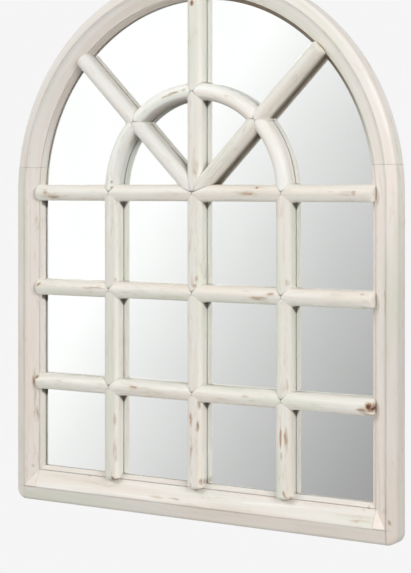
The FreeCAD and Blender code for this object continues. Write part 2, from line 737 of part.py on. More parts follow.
bumpers = new_body("wall_bumpers")
section = new_sketch(bumpers, "XZ_Plane", "0 - back_depth")
rings(section, [(f"{sign} * {HANGER_LINE}", f"{FOOT} + bumper_rise") for sign in (1, -1)], "bumper_radius")
feature(bumpers, "Pad", section, f"2 * {FOLD}", back=True)

# ---------------------------------------------------------------- check and write

doc.recompute()
pieces = [left_stile, stile, rail, head_left, head, dowels, *bars.values(), inner_arch_left, inner_arch,
          left_spoke, spoke, glass, board, backing_screws, left_strap, strap, left_ring, ring,
          hanger_screws, bumpers]
for item in doc.Objects:
    if "Invalid" in item.State or "Error" in item.State:
        raise RuntimeError(f"{item.Label}: {item.State}")
os.makedirs("parts", exist_ok=True)
for piece in pieces:
    shape = piece.Shape
    if shape.isNull() or not shape.isValid() or not shape.Solids:
        raise RuntimeError(f"{piece.Label} has no sound shape")
    shape.exportStep(f"parts/{piece.Label}.step")
    box = shape.optimalBoundingBox(False)
    print(f"{piece.Label:20s} {len(shape.Solids):3d} solid(s) {shape.Volume / 1000:9.2f} cm3  "
          f"{box.XLength:6.1f} x {box.YLength:5.1f} x {box.ZLength:6.1f} mm")
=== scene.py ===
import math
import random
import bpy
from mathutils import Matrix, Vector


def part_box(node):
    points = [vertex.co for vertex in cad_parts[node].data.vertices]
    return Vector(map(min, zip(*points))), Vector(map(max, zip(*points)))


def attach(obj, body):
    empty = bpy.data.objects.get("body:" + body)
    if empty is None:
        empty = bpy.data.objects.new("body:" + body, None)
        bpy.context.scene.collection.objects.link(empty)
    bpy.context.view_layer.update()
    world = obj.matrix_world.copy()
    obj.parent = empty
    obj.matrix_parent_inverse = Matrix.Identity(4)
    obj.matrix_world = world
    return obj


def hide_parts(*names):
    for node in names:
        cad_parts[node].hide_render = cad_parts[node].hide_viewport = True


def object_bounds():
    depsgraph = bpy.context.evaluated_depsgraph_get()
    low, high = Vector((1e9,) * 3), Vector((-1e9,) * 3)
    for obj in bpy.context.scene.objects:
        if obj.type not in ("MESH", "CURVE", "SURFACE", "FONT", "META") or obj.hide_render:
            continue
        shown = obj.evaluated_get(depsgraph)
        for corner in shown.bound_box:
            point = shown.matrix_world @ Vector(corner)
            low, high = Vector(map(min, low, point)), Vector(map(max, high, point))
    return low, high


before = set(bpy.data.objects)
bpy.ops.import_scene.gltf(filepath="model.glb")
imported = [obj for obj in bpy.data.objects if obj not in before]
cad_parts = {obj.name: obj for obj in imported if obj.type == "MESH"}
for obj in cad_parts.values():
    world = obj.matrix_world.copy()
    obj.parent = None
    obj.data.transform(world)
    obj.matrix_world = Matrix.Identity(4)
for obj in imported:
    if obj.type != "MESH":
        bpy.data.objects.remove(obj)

# %% [markdown]
# # Arched window mirror
#
# The real thing is a wall mirror made to look like an old church window: a moulded wooden frame with
# a half-round head, one sheet of mirror behind it, and a grille of half-round glazing bars glued on
# top. It was painted an off-white, rubbed through along its edges and on its knots, and then dulled
# with a thin brownish wax that stays in every groove.
#
# The solids come from the CAD frame, already in metres and in place. This notebook gives them their
# finishes, adds what CAD is poor at (glass with its silvering, soft felt, paint in the crossings),
# and then sets the studio.

# %% Tools and the CAD box
from types import SimpleNamespace

import bmesh
import bpy
from mathutils import Vector

cad_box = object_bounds()
print("nodes:", len(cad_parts), "box:", [[round(c, 4) for c in corner] for corner in cad_box])

# %% [markdown]
# ## Measures that the finishes follow
#
# Paint wears where hands and sandpaper reach: along the crest of the moulding and on the crowns of
# the bars. To put wear there, a finish must know where those lines run. The frame follows one simple
# rule: below the spring line a point's distance out is its distance from the middle, and above the
# spring line it is its distance from the arch's centre. So a few measures are enough.

# %% Measures
CREST_IN = 0.020
LIP_IN = 0.053
RAIL_CREST_UP = 0.026


def middle_and_half(name, axis):
    """The middle of a CAD piece along one axis (0, 1 or 2 for X, Y or Z), and half its size there."""
    low, high = (corner[axis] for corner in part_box(name))
    return (low + high) / 2, (high - low) / 2


glass_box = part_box("mirror_glass")
glass_front = glass_box[0][1]
spring_z, bar_half = middle_and_half("spring_bar", 2)
outer = cad_box[1][0]
foot = cad_box[0][2]
crest_out = outer - CREST_IN
lip_out = outer - LIP_IN
rail_crest = foot + RAIL_CREST_UP
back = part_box("bottom_rail")[1][1]
crown_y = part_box("centre_upright")[0][1]
print(f"spring line z={spring_z:.4f}, crest {crest_out:.3f} out, lip {lip_out:.3f} out")
print(f"crowns y={crown_y:.4f}, glass y={glass_front:.4f}, back y={back:.4f}")

# %% [markdown]
# ## A short way to write node trees
#
# A finish is a chain of small nodes. Written out in full, each takes four lines, and the idea gets
# lost. A few helpers keep it readable: `node` adds one node with its settings and inputs, `calc` does
# one sum on sockets or plain numbers, `between` eases a value from one range into another, and
# `blend` mixes two colours.

# %% Helpers for finishes
def feed_inputs(tree, fed, feeds):
    """Gives a node's inputs by name or number: a socket is linked, a value is set."""
    for socket, feed in feeds.items():
        if isinstance(feed, bpy.types.NodeSocket):
            tree.links.new(feed, fed.inputs[socket])
        else:
            fed.inputs[socket].default_value = feed


def node(tree, kind, feeds=None, **settings):
    """Adds a node with its settings and its inputs."""
    made = tree.nodes.new("ShaderNode" + kind)
    for name, value in settings.items():
        setattr(made, name, value)
    feed_inputs(tree, made, feeds or {})
    return made


def calc(tree, operation, *values):
    """One sum, such as calc(tree, "ADD", a, b)."""
    return node(tree, "Math", dict(enumerate(values)), operation=operation).outputs[0]


def between(tree, value, low, high, to_low=0.0, to_high=1.0):
    """Eases a value from one range into another, and holds it at the ends."""
    feeds = {"Value": value, "From Min": low, "From Max": high, "To Min": to_low, "To Max": to_high}
    return node(tree, "MapRange", feeds, interpolation_type="SMOOTHSTEP").outputs["Result"]


def blend(tree, share, first, second):
    """Mixes two colours by a share from 0 to 1. A colour is a socket, or its red, green and blue."""
    first, second = ((*colour, 1.0) if isinstance(colour, tuple) else colour
                     for colour in (first, second))
    return node(tree, "Mix", {0: share, 6: first, 7: second}, data_type="RGBA").outputs[2]


def new_finish(name):
    """An empty finish: its material, its tree and its Principled shader."""
    material = bpy.data.materials.new(name)
    material.use_nodes = True
    tree = material.node_tree
    return material, tree, tree.nodes["Principled BSDF"]


def wear_it(piece, material):
    """Puts a finish on every material slot of a piece."""
    for slot in piece.material_slots:
        slot.material = material
    if not piece.material_slots:
        piece.data.materials.append(material)


# %% [markdown]
# ## Whitewashed wood
#
# On the real frame four layers show: brown wood, a beige ground coat, an off-white top coat that was
# brushed along the grain and is thin in places, and wax in the hollows. A photographed texture would
# give this quickly, but it would repeat and stretch round the arch. So each layer is a noise, pulled
# out along the grain of its own piece:
#
# * for a straight piece the coordinates are turned until the grain lies along X;
# * for the arches they are bent: the distance along the curve stands for X and the radius for Z.

# %% Coordinates along the grain
def length_of(tree, first, second):
    """The length of a slope from its two sides."""
    squares = [calc(tree, "MULTIPLY", side, side) for side in (first, second)]
    return calc(tree, "SQRT", calc(tree, "ADD", *squares))


def grain_coordinates(tree, slope=0.0, bend=None):
    """A point's place in metres, and its place with X along the grain. slope turns a straight grain,
    in degrees from level; bend is the radius of an arched one."""
    place = node(tree, "TexCoord").outputs["Object"]
    if bend is None:
        turned = node(tree, "Mapping", {"Vector": place, "Rotation": (0.0, math.radians(slope), 0.0)})
        return place, turned.outputs["Vector"]
    parts = node(tree, "SeparateXYZ", {0: place})
    high = calc(tree, "SUBTRACT", parts.outputs["Z"], spring_z)
    along = calc(tree, "MULTIPLY", calc(tree, "ARCTAN2", high, parts.outputs["X"]), bend)
    out = length_of(tree, high, parts.outputs["X"])
    bent = node(tree, "CombineXYZ", {0: along, 1: parts.outputs["Y"], 2: out})
    return place, bent.outputs[0]


def distance_out(tree, place):
    """How far a point lies out from the middle line, or from the arch's centre above the spring."""
    parts = node(tree, "SeparateXYZ", {0: place})
    high = calc(tree, "MAXIMUM", calc(tree, "SUBTRACT", parts.outputs["Z"], spring_z), 0.0)
    return length_of(tree, high, parts.outputs["X"])


# %% [markdown]
# The finish itself. It is one scale, from sound paint to dark bare wood: a beige ground coat shows
# first, then orange-brown wood, then the dark heart of a knot. Each point gets a number on that
# scale, from three things: a fine noise that breaks every edge up, the lines along which the piece
# was sanded, and the places where this very mirror is worn. The paint itself is not one colour
# either: it was brushed on in long strokes that lean now to pink and now to green.

# %% Colours of the old paint
KNOT = (0.085, 0.028, 0.014)
BARE_WOOD = (0.450, 0.268, 0.152)
GROUND_COAT = (0.600, 0.525, 0.440)
STREAK = (0.610, 0.550, 0.465)
FRESH_STROKE = (0.86, 0.845, 0.80)
# Wax; also the tone of painted shade in hollows, on undersides, under the lip and in the scored line.
WAX_AND_SHADE_TONE = (0.210, 0.165, 0.120)
# The tone of the painted shadow under the cross bars.
CORNER_SHADOW_TONE = (0.105, 0.088, 0.068)
SAWN_DARK = (0.400, 0.270, 0.160)
SAWN_LIGHT = (0.560, 0.420, 0.280)
STILE_COAT = (0.760, 0.710, 0.660)
RAIL_COAT = (0.735, 0.705, 0.655)
HEAD_COAT = (0.760, 0.728, 0.680)
BAR_COAT = (0.745, 0.725, 0.668)
ARCH_COAT = (0.815, 0.812, 0.775)
SPOKE_COAT = (0.745, 0.738, 0.700)
PINKER = (1.0, 0.945, 0.905)
GREENER = (0.925, 0.965, 0.900)


def tinted(coat, shares):
    """A coat of paint with each of its three colours scaled by its own share."""
    return tuple(channel * share for channel, share in zip(coat, shares))


# %% [markdown]
# ### Masks
#
# A mask is a value that is 1 where something happens and eases to 0 around it. Two shapes are enough
# here: a band along a line, for edges that were sanded, and an oval spot, for a knot or a chip. Where
# several masks of one kind meet, the greatest one counts, so spots that overlap don't add up.

# %% Masks
def band_mask(tree, value, middle, half_width):
    """1 on a line and 0 at half_width from it."""
    away = calc(tree, "ABSOLUTE", calc(tree, "SUBTRACT", value, middle))
    return between(tree, away, half_width, 0.0)


def spot_mask(tree, place, across, up, half_across, half_up, slope):
    """1 in the middle of an oval spot and 0 at its edge. A spot is given in millimetres: its middle
    across and up, its half sizes, and then its slope in degrees."""
    oval = node(tree, "Mapping", {"Vector": place, "Location": (across / 1000, 0.0, up / 1000),
                                  "Rotation": (0.0, -math.radians(slope), 0.0),
                                  "Scale": (half_across / 1000, 1.0, half_up / 1000)},
                vector_type="TEXTURE")
    away = node(tree, "VectorMath", {0: oval.outputs[0]}, operation="LENGTH").outputs["Value"]
    return between(tree, away, 1.25, 0.3)


def greatest(tree, masks):
    """The largest of several masks at each point, or 0.0 where there are none."""
    most = 0.0
    for mask in masks:
        most = calc(tree, "MAXIMUM", mask, most)
    return most


# %% [markdown]
# ### Worn places
#
# The places below were read off the object, as a restorer would note them on a drawing: a
# knot at the right end of the lowest bar, long streaks on two uprights, chips where bars meet. The
# last number says how far down the scale the middle of the place goes.

# %% Worn places, in millimetres from the hooks
WORN = {
    "centre_upright": [
        (1, 360, 6, 7, 0, 0.50), (20, 343, 3, 10, 0, 0.36), (18, 208, 9, 2.5, 0, 0.24),
        (6, 66, 8, 22, 0, 0.20), (6, -144, 4, 5, 0, 0.34), (8, -131, 3, 7, 0, 0.26),
        (12, -355, 3, 12, 0, 0.24), (-1, -380, 4, 18, 0, 0.27), (10, -395, 3, 12, 0, 0.38),
        (-1, -440, 4, 44, 0, 0.21), (9, -440, 3, 40, 0, 0.20), (-3, -501, 3, 8, 0, 0.27),
        (14, -494, 3, 9, 0, 0.31)],
    "inner_arch_left": [
        (-17, 206, 9, 3.5, 8, 0.40), (-43, 199, 26, 3.5, 18, 0.38), (-175, 41, 4, 4, 0, 0.35),
        (-175, 31, 4, 4, 0, 0.33)],
    "spring_bar": [
        (-329, 23, 7, 9, 0, 0.26), (-312, 16, 22, 8, 0, 0.19), (133, 31, 4, 2.5, 0, 0.30),
        (125, 21, 24, 7, 0, 0.19), (307, 22, 16, 6, 0, 0.21), (322, 22, 6, 6, 0, 0.27)],
    "middle_cross_bar": [
        (-345, -152, 8, 3.5, 35, 0.38), (-235, -155, 40, 3, 0, 0.19), (161, -152, 12, 5, 0, 0.28),
        (137, -161, 24, 5, 0, 0.23), (336, -147, 6, 3, 0, 0.27), (359, -156, 6, 4, 0, 0.28),
        (346, -170, 22, 4, -4, 0.30)],
    "lower_cross_bar": [
        (-350, -328, 6, 4, 35, 0.40), (-357, -342, 4, 4, 0, 0.36), (-142, -328, 18, 3, 0, 0.24),
        (-127, -334, 11, 4, 0, 0.31), (111, -334, 12, 3, 0, 0.27), (352, -336, 12, 9, -30, 0.56),
        (338, -341, 14, 9, 0, 0.34), (348, -349, 16, 3.5, -6, 0.34)],
    "left_upright": [
        (-171, -139, 3, 8, 0, 0.30), (-175, -38, 4, 18, 0, 0.20), (-171, -396, 3, 20, 0, 0.20),
        (-171, -458, 3, 28, 0, 0.24), (-173, -507, 3.2, 9, 25, 0.48)],
    "right_upright": [
        (193, 36, 3, 5, 0, 0.32), (193, -133, 4, 9, 0, 0.25), (193, -308, 3, 14, 0, 0.29),
        (182, -400, 3, 24, 0, 0.42), (191, -400, 3.5, 24, 0, 0.38), (183, -431, 3, 10, 0, 0.27),
        (188, -497, 2.6, 11, 20, 0.36), (195, -505, 2.6, 6, 0, 0.30)],
    "left_stile": [
        (-365, -328, 4, 24, 0, 0.29), (-363, -374, 5, 42, 0, 0.22), (-358, -396, 4, 32, 0, 0.25),
        (-344, -420, 2.5, 44, 0, 0.22), (-367, -500, 8, 4, 0, 0.22)],
    "right_stile": [
        (388, -16, 4, 24, 0, 0.20), (379, -155, 4, 34, 0, 0.17), (377, -506, 7, 8, 0, 0.22),
        (388, -524, 5, 8, 20, 0.42)],
    "bottom_rail": [
        (-228, -519, 64, 3.5, -2, 0.22), (-238, -508, 8, 4, 0, 0.20), (-83, -530, 24, 3, 0, 0.21),
        (-39, -529, 18, 3, 0, 0.22), (127, -533, 28, 3, 0, 0.22), (331, -528, 38, 3, 0, 0.23),
        (342, -506, 5, 4, 0, 0.36), (334, -510, 6, 3, 0, 0.27)],
}


# %% [markdown]
# ### Dark corners
#
# A painted shadow lies on the right flank of each upright, just under a cross bar, and where each
# cross bar meets the left stile: it stands in for the shade that the bar casts there. From the camera
# these are the small dark triangles below the crossings. The height above
# the glass and the drop below the bar are added up, each as a share of its reach, and the mask fades
# where the sum passes 1. That line slants, so each corner becomes a triangle.

# %% Dark corners under the cross bars
UPRIGHTS = ("left_upright", "centre_upright", "right_upright")
CROSS_BARS = ("spring_bar", "middle_cross_bar", "lower_cross_bar")
ARCH_RADIUS = 0.182
CORNER_DROP = 0.015
CORNER_RISE = 0.017
FLANK_EASE = 0.002
FLANK_INSIDE = 0.0005
LIP_INSIDE = 0.0035
bar_heights = [middle_and_half(bar, 2)[0] for bar in CROSS_BARS]


def painted_corner_shadow(tree, parts, across, heights):
    """The mask of a painted shadow: 1 in the corners between the glass, the bars at those heights
    and a flank at a place across.
    """
    rise = calc(tree, "DIVIDE", calc(tree, "SUBTRACT", glass_front, parts.outputs["Y"]), CORNER_RISE)
    masks = []
    for height in heights:
        drop = calc(tree, "ABSOLUTE", calc(tree, "SUBTRACT", height - bar_half, parts.outputs["Z"]))
        slant = calc(tree, "ADD", calc(tree, "DIVIDE", drop, CORNER_DROP), rise)
        masks.append(between(tree, slant, 1.15, 0.75))
    on_flank = between(tree, parts.outputs["X"], across - FLANK_EASE, across)
    return calc(tree, "MULTIPLY", greatest(tree, masks), on_flank)


SHADOWED_CORNERS = {upright: (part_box(upright)[1][0] - FLANK_INSIDE, bar_heights) for upright in UPRIGHTS}
SHADOWED_CORNERS["centre_upright"] = (SHADOWED_CORNERS["centre_upright"][0], bar_heights + [spring_z + ARCH_RADIUS])
SHADOWED_CORNERS["left_stile"] = (-lip_out - LIP_INSIDE, bar_heights)
print("shadowed corners:", {name: len(heights) for name, (_, heights) in SHADOWED_CORNERS.items()})

# %% [markdown]
# ### Brushed paint
#
# Bristles leave long streaks, so every noise has far fewer waves along the grain than across it. Five
# of them are enough: hair-fine fibres, brush strokes, wide clouds, slow changes of tint, and the
# flakes that break up a worn edge. A seed moves the noises of each piece, so no two pieces match.

# %% Noises and the top coat
def noises_along(tree, grain, seed):
    """The five noises that a painted piece is made of."""
    shift = (seed * 1.7, seed * 0.9, seed * 2.3)
    shifted = node(tree, "VectorMath", {0: grain, 1: shift}, operation="ADD").outputs[0]

    def pulled(long, across, detail=3.0, roughness=0.55, twist=0.0):
        """A noise with so many waves a metre along the grain and across it."""
        waves = {0: shifted, 1: (long, across, across)}
        scaled = node(tree, "VectorMath", waves, operation="MULTIPLY").outputs[0]
        feeds = {"Vector": scaled, "Scale": 1.0, "Detail": detail, "Roughness": roughness,
                 "Distortion": twist}
        return node(tree, "TexNoise", feeds).outputs[0]

    return SimpleNamespace(fibres=pulled(14.0, 620.0, 4.0),
                           strokes=pulled(5.0, 120.0, 3.0, twist=0.3),
                           clouds=pulled(7.0, 22.0, 3.0, 0.6),
                           tints=pulled(2.6, 34.0, 2.0, 0.5),
                           flakes=pulled(34.0, 170.0, 4.0, 0.6, twist=0.5))


def brushed_paint(tree, coat, noise):
    """The top coat, with pinker and greener patches, thin strokes and fresh ones."""
    pinker = between(tree, noise.tints, 0.47, 0.66, 0.0, 0.85)
    paint = blend(tree, pinker, coat, tinted(coat, PINKER))
    greener = between(tree, noise.tints, 0.50, 0.34, 0.0, 0.85)
    paint = blend(tree, greener, paint, tinted(coat, GREENER))
    thin = calc(tree, "MULTIPLY", between(tree, noise.strokes, 0.48, 0.74),
                between(tree, noise.clouds, 0.38, 0.66))
    paint = blend(tree, calc(tree, "MULTIPLY", thin, 0.62), paint, STREAK)
    fresh = calc(tree, "MULTIPLY", between(tree, noise.strokes, 0.46, 0.30),
                 between(tree, noise.clouds, 0.56, 0.40))
    return blend(tree, calc(tree, "MULTIPLY", fresh, 0.45), paint, FRESH_STROKE)


# %% [markdown]
# ### Painted light and shade on the sides
#
# These tones are painted light and shade. Inside its crest line the moulding is painted paler than in
# the outer band; the bars' flanks turned right or down are painted paler than their crowns, and the
# upward faces of the stiles duller, by the way they face. Near some joints both tones ease towards
# those of the next piece, so that no step shows there.

# %% Painted light and shade on the sides
CREST_EASE = (-0.006, 0.001)
SCORED_LINE = 0.001
SCORED_HALF = 0.0022
FULL_FLANK = 0.97


def made_paler(tree, paint, share):
    """A colour scaled by one share: above 1 is paler, below 1 duller."""
    return node(tree, "VectorMath", {0: paint, "Scale": share}, operation="SCALE").outputs[0]


def share_at(tree, parts, outside, shares, fade):
    """How pale the paint is painted inside and outside the crest line, and by a joint, as painted light and
    shade.
    """
    share = between(tree, outside, *CREST_EASE, *shares)
    if not fade:
        return share
    weight_along, joint_shares = fade
    at_joint = between(tree, outside, *CREST_EASE, *joint_shares)
    weight = weight_along(tree, parts)
    own = calc(tree, "MULTIPLY", share, weight)
    return calc(tree, "ADD", own, calc(tree, "MULTIPLY", at_joint, calc(tree, "SUBTRACT", 1.0, weight)))


def scored_line(tree, outside, noise):
    """The line scored along the crest, stronger and weaker along its way."""
    return calc(tree, "MULTIPLY", band_mask(tree, outside, SCORED_LINE, SCORED_HALF),
                between(tree, noise.strokes, 0.35, 0.6, 0.3, 1.0))


def flank_paint(tree, paint, turned, axis, side, start, gain):
    """Painted light and shade: paint that grows paler or duller as the surface turns towards one side of an
    axis.
    """
    sideways = calc(tree, "MULTIPLY", turned.outputs[axis], side)
    return made_paler(tree, paint, between(tree, sideways, start, FULL_FLANK, 1.0, gain))


# %% [markdown]
# ### Rubbed through
#
# Here the one scale does its work. Flakes, clouds, sanded lines and worn places are added up to a
# reach. Where it passes a first limit the ground coat shows, a little further bare wood, and furthest
# the heart of a knot. Because all the layers share the reach, they always lie inside one another, as
# they do when real paint wears.

# %% Wear
RUB_SHARE = 0.07
PATCH_SHARE = 0.40
SOUND_LIMIT = 0.83
BARENESS_SHARE = 0.08


def wear_reach(tree, name, place, parts, noise, edge_lines):
    """How far the wear has gone at each point of a piece."""
    rubbed = greatest(tree, [line(tree, place, parts) for line in edge_lines])
    worn = greatest(tree, [calc(tree, "MULTIPLY", spot_mask(tree, place, *spot), depth)
                           for *spot, depth in WORN.get(name, ())])
    reach = calc(tree, "ADD", noise.flakes, calc(tree, "MULTIPLY", rubbed, RUB_SHARE))
    patchy = calc(tree, "MULTIPLY", calc(tree, "SUBTRACT", noise.clouds, 0.5), PATCH_SHARE)
    return calc(tree, "ADD", calc(tree, "ADD", reach, patchy), worn)


def rubbed_through(tree, paint, reach, noise, bareness):
    """The paint with its ground coat, bare wood and knots, and the mask of the bare wood."""
    limit = SOUND_LIMIT - BARENESS_SHARE * bareness
    ground = between(tree, reach, limit - 0.22, limit + 0.02, 0.0, 0.75)
    bare = between(tree, reach, limit - 0.05, limit + 0.20)
    heart = between(tree, reach, limit + 0.17, limit + 0.38)
    wood = blend(tree, between(tree, noise.fibres, 0.3, 0.7, 0.0, 0.45), BARE_WOOD, KNOT)
    paint = blend(tree, ground, paint, GROUND_COAT)
    colour = blend(tree, calc(tree, "MULTIPLY", bare, 0.82), paint, wood)
    return blend(tree, heart, colour, KNOT), bare


# %% [markdown]
# ### Wax and painted shade
#
# Wax was wiped over everything and wiped off again, and stays where the cloth didn't press. The
# ambient occlusion node finds the hollows: it tells how much of the sky a point sees, and there the
# paint is darkened by wax and by painted shade. Undersides near the glass and the underside of the lip
# get painted shade by name, where they face down. The faces that lie against the wall never got any
# paint but the mist from its edges, so they stay raw wood.

# %% Wax, painted shade and the raw back
HOLLOW_REACH = 0.018
LIP_SHADE_FROM = 0.0095
LIP_SHADE_FULL = 0.0060
BACK_EASE = (0.0035, 0.001)


def wax_and_painted_shade(tree, place, parts, turned, underside, lip_shade, hollows):
    """Wax and painted shade in the hollows; painted shade on undersides near the glass and under the lip.
    """
    hollow = node(tree, "AmbientOcclusion", {"Distance": HOLLOW_REACH}, samples=8, only_local=False)
    # Wax and painted shade in the hollows that the ambient occlusion finds.
    wax_and_shade = between(tree, hollow.outputs["AO"], 0.34, 0.10, 0.0, hollows)
    # Painted shade: faces turned down near the glass are darkened.
    if underside:
        most, reach_up = underside
        below = between(tree, turned.outputs["Z"], -0.42, -0.72, 0.0, most)
        low = between(tree, parts.outputs["Y"], glass_front - reach_up, glass_front - 0.35 * reach_up)
        wax_and_shade = calc(tree, "MAXIMUM", wax_and_shade, calc(tree, "MULTIPLY", below, low))
    # Painted shade: the underside of the lip is darkened where it faces down.
    if lip_shade:
        on_lip = between(tree, distance_out(tree, place), lip_out + LIP_SHADE_FROM, lip_out + LIP_SHADE_FULL)
        below = between(tree, turned.outputs["Z"], 0.0, -0.45, 0.0, lip_shade)
        wax_and_shade = calc(tree, "MAXIMUM", wax_and_shade, calc(tree, "MULTIPLY", on_lip, below))
    return wax_and_shade


def raw_back(tree, colour, coat, parts, away, noise):
    """Sawn wood with a mist of paint on the faces that lie against the wall."""
    ease_from, ease_to = (back - depth for depth in BACK_EASE)
    behind = calc(tree, "MULTIPLY", away, between(tree, parts.outputs["Y"], ease_from, ease_to))
    mist = calc(tree, "ADD", noise.clouds, calc(tree, "MULTIPLY", noise.strokes, 0.35))
    spray = between(tree, mist, 0.52, 0.86)
    raw = blend(tree, between(tree, noise.fibres, 0.3, 0.7), SAWN_DARK, SAWN_LIGHT)
    raw = blend(tree, calc(tree, "MULTIPLY", spray, 0.7), raw, coat)
    return blend(tree, behind, colour, raw)


# %% [markdown]
# ### The surface
#
# Fibres and brush strokes stand up a little, and bare wood lies a little lower than paint. A bump node
# gives that for light alone, with no extra faces. Painted wood also has no sharp edge anywhere, so a
# bevel node rounds the shading of each edge, which is much cheaper than rounding the solids.

# %% Surface
def bumpy(tree, height, strength, distance):
    """A normal that is tilted by the slopes of a height."""
    return node(tree, "Bump", {"Strength": strength, "Distance": distance, "Height": height}).outputs[0]


def softened(tree, normal, radius):
    """A normal that turns over an edge as if it were rounded."""
    return node(tree, "Bevel", {"Radius": radius, "Normal": normal}, samples=4).outputs[0]


def brushed_relief(tree, noise, bare):
    """The height of fibres, strokes and bare wood."""
    relief = calc(tree, "ADD", calc(tree, "MULTIPLY", noise.fibres, 0.25),
                  calc(tree, "MULTIPLY", noise.strokes, 0.6))
    return calc(tree, "SUBTRACT", relief, calc(tree, "MULTIPLY", bare, 0.5))


# %% [markdown]
# ### The whole finish
#
# Now the layers go on in order: paint, painted light and shade on the sides, wear, wax with painted
# shade, painted shadows in the corners, and the raw back. Each piece gets its own material, because
# its grain, its worn places and its painted light and shade are its own.

# %% Whitewash
SCORE_WAX_AND_SHADE = 0.30
CORNER_SHARE = 0.92


def whitewash(name, seed, coat, slope=0.0, bend=None, edge_lines=(), bareness=0.5, underside=None,
              outward=None, shares=(1.0, 1.0), fade=None, flank=None, lip_shade=0.0, hollows=0.85,
              rounding=0.0025):
    """Off-white paint on wood, rubbed through along its edges, along the grain and in worn places.

    slope or bend gives the course of the grain, and edge_lines the lines that were sanded.
    outward gives a point's distance outside the crest line, and shares how pale the paint is painted
    inside and outside that line, as painted light and shade. fade is a weight along the piece and the
    shares at its joint. flank is an axis, a side of it, where the change starts and how pale that side
    is painted, as painted light and shade. underside is how much painted shade darkens the undersides
    and how far they are from the glass; lip_shade is how much painted shade darkens the lip, and hollows
    how much wax and painted shade darken the hollows. rounding is the radius of the soft edges."""
    material, tree, shader = new_finish("whitewash_" + name)
    place, grain = grain_coordinates(tree, slope, bend)
    noise = noises_along(tree, grain, seed)
    paint = brushed_paint(tree, coat, noise)

    parts = node(tree, "SeparateXYZ", {0: place})
    turned = node(tree, "SeparateXYZ", {0: node(tree, "NewGeometry").outputs["Normal"]})
    score = 0.0
    if outward:
        outside = outward(tree, place, parts)
        paint = made_paler(tree, paint, share_at(tree, parts, outside, shares, fade))
        score = scored_line(tree, outside, noise)
    if flank:
        paint = flank_paint(tree, paint, turned, *flank)
    reach = wear_reach(tree, name, place, parts, noise, edge_lines)
    colour, bare = rubbed_through(tree, paint, reach, noise, bareness)

    facing = node(tree, "SeparateXYZ", {0: node(tree, "NewGeometry").outputs["True Normal"]})
    away = between(tree, facing.outputs["Y"], 0.75, 0.9)
    wax_and_shade = wax_and_painted_shade(tree, place, parts, turned, underside, lip_shade, hollows)
    # The scored line is darkened: wax in its groove, and painted shade of the groove.
    wax_and_shade = calc(tree, "MAXIMUM", wax_and_shade, calc(tree, "MULTIPLY", score, SCORE_WAX_AND_SHADE))
    wax_and_shade = calc(tree, "MULTIPLY", wax_and_shade, calc(tree, "SUBTRACT", 1.0, away))
    colour = blend(tree, wax_and_shade, colour, WAX_AND_SHADE_TONE)
    # Painted shadow: the shade that each cross bar casts on the flank below it.
    if name in SHADOWED_CORNERS:
        corners = painted_corner_shadow(tree, parts, *SHADOWED_CORNERS[name])
        colour = blend(tree, calc(tree, "MULTIPLY", corners, CORNER_SHARE), colour, CORNER_SHADOW_TONE)
    colour = raw_back(tree, colour, coat, parts, away, noise)

    rough = calc(tree, "ADD", between(tree, noise.strokes, 0.3, 0.7, 0.42, 0.58),
                 calc(tree, "MULTIPLY", bare, 0.2))
    normal = bumpy(tree, brushed_relief(tree, noise, bare), strength=0.35, distance=0.0006)
    if rounding:
        normal = softened(tree, normal, rounding)
    feed_inputs(tree, shader, {"Base Color": colour, "Roughness": rough, "Normal": normal,
                               "Specular IOR Level": 0.4})
    return material


# %% [markdown]
# ### Lines that follow the moulding
#
# Sandpaper takes the paint off whatever stands out first: the crest, the outer edge, the foot, and
# the crowns of the bars. Each of these is a line that the measures above already know, so each is a
# function of a point's place. The same goes for the distance outside a crest, and for the distance
# from a joint.

# %% Lines where the paint was rubbed, and ways across and along a piece
SANDED_HALF = 0.006
OUTER_HALF = 0.005
CROWN_DEPTH = 0.008
CROWN_JOINT_REACH = (0.02, 0.24)
HEAD_JOINT_REACH = (0.04, -0.20)


def on_crest(tree, place, parts):
    """The crest of the stiles and of the head."""
    return band_mask(tree, distance_out(tree, place), crest_out, SANDED_HALF)


def on_rail_crest(tree, place, parts):
    """The crest of the bottom rail."""
    return band_mask(tree, parts.outputs["Z"], rail_crest, SANDED_HALF)


def on_outer_edge(tree, place, parts):
    """The outer edge of the stiles and of the head."""
    return band_mask(tree, distance_out(tree, place), outer, OUTER_HALF)


def on_foot_edge(tree, place, parts):
    """The lower edge of the bottom rail."""
    return band_mask(tree, parts.outputs["Z"], foot, SANDED_HALF)


def on_crown(tree, place, parts):
    """The crowns of the bars: the parts that stand furthest out."""
    return between(tree, parts.outputs["Y"], crown_y + CROWN_DEPTH, crown_y)


def outside_crest(tree, place, parts):
    """How far a point of the stiles or the head lies outside their crest line."""
    return calc(tree, "SUBTRACT", distance_out(tree, place), crest_out)


def below_rail_crest(tree, place, parts):
    """How far a point of the rail lies below its crest line."""
    return calc(tree, "SUBTRACT", rail_crest, parts.outputs["Z"])


def from_crown_joint(tree, parts):
    """0 at the joint at the top of the head, rising to 1 down its sides."""
    return between(tree, calc(tree, "ABSOLUTE", parts.outputs["X"]), *CROWN_JOINT_REACH)


def below_head_joint(tree, parts):
    """0 at the joint of a stile and the head, rising to 1 down the stile."""
    near, far = (spring_z + reach for reach in HEAD_JOINT_REACH)
    return between(tree, parts.outputs["Z"], near, far)
